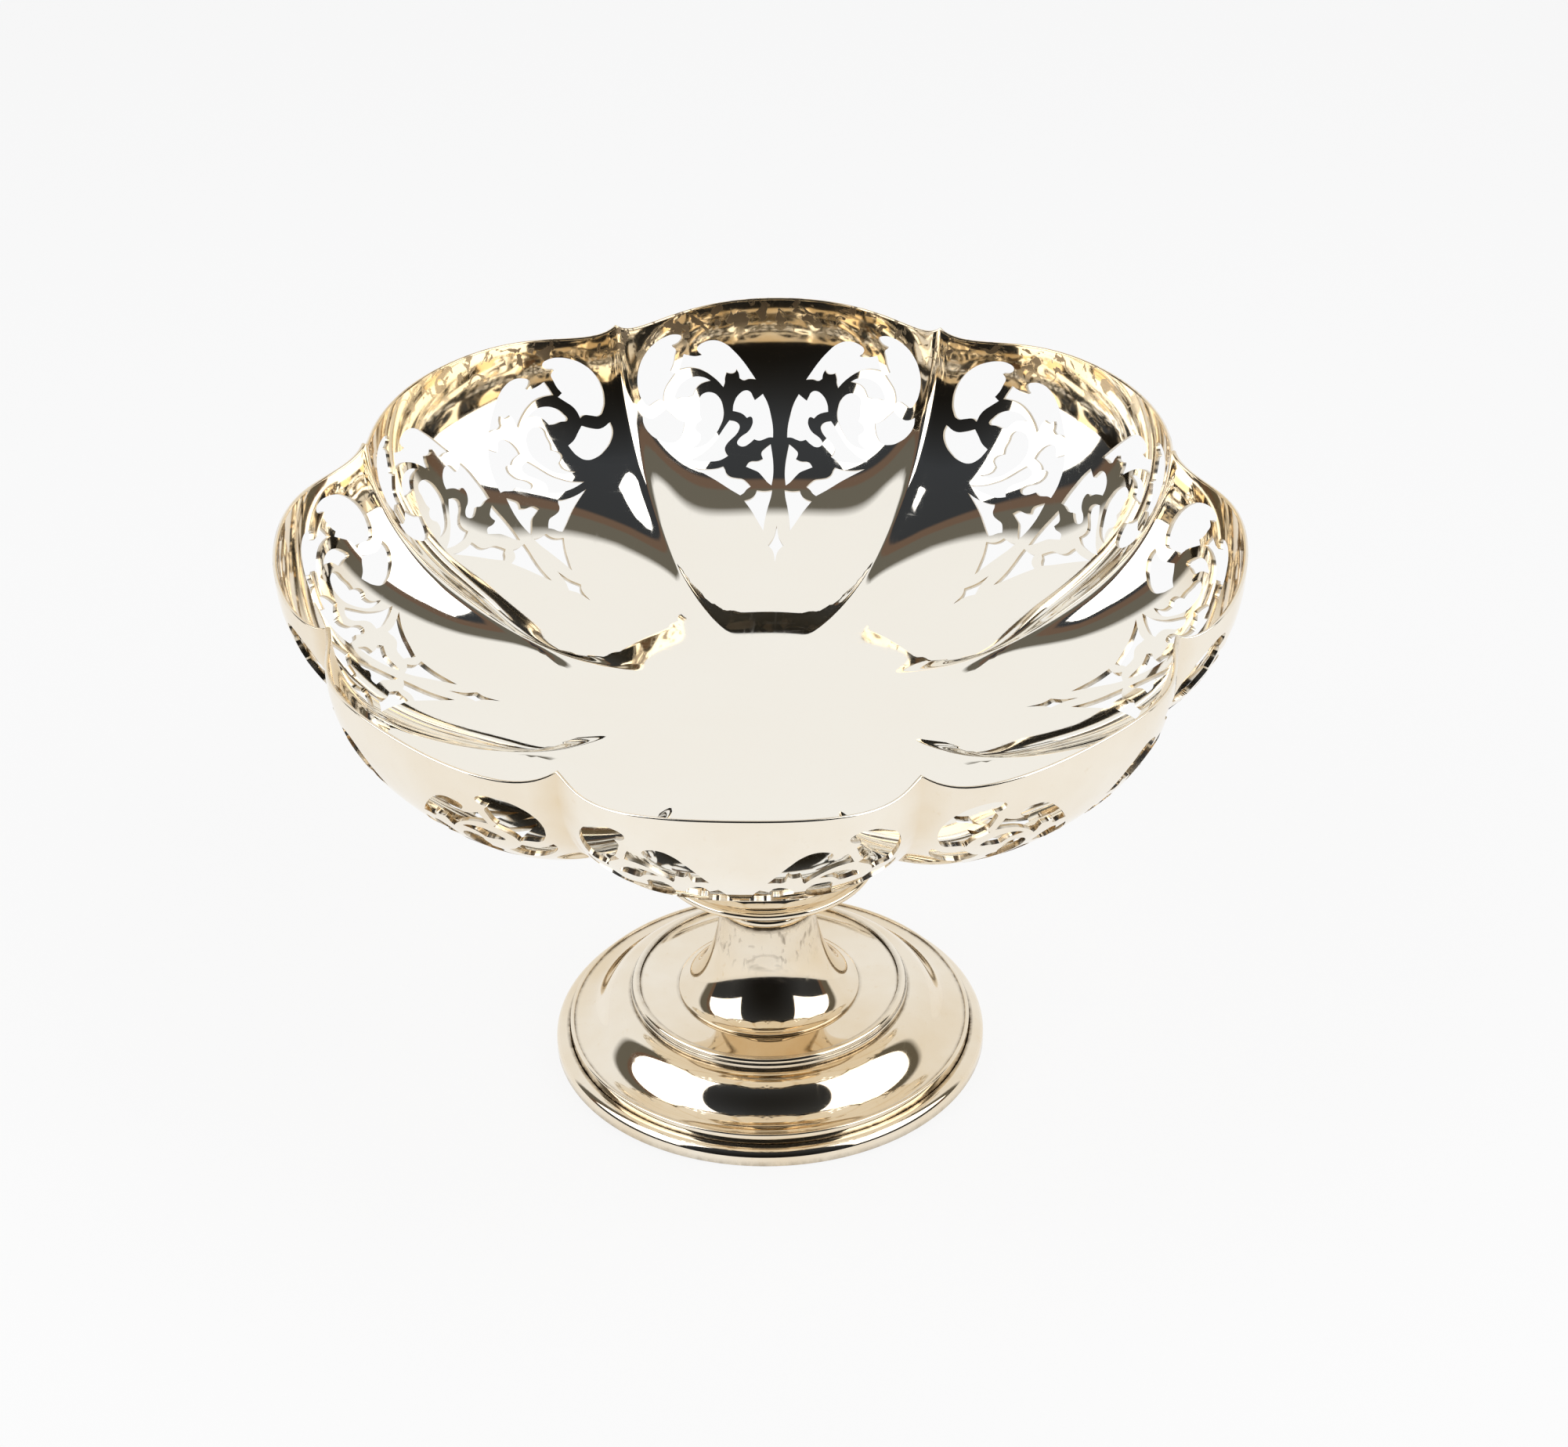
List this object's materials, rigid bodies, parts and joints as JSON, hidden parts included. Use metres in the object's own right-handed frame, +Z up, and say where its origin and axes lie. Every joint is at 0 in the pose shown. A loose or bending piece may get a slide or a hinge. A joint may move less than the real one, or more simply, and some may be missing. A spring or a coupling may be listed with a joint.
{
  "type": "footed compote bowl",
  "caption": "Shallow lobed bowl of polished silver with pierced scroll leaves, carried on a turned, waisted stem and a stepped, domed foot.",
  "frame": {"origin": "middle of the foot's resting face, on the bowl's axis", "axes": "+Z up along the axis; +X and +Y each through the middle of a lobe"},
  "size_m": [0.202, 0.202, 0.1292],
  "materials": {
    "bowl_silver": "polished silver, warm tone, brown tarnish in the piercing",
    "stem_silver": "polished silver, warm tone, fine rubbing marks",
    "foot_silver": "polished silver, warm tone, dark tarnish in the grooves"
  },
  "bodies": {
    "root": {"bowl": "bowl_silver", "socket": "stem_silver", "collar": "stem_silver", "cup": "stem_silver", "bead": "stem_silver", "stem": "stem_silver", "dish": "foot_silver", "step_ring": "foot_silver", "foot_dome": "foot_silver", "foot_rim": "foot_silver"}
  },
  "joints": []
}
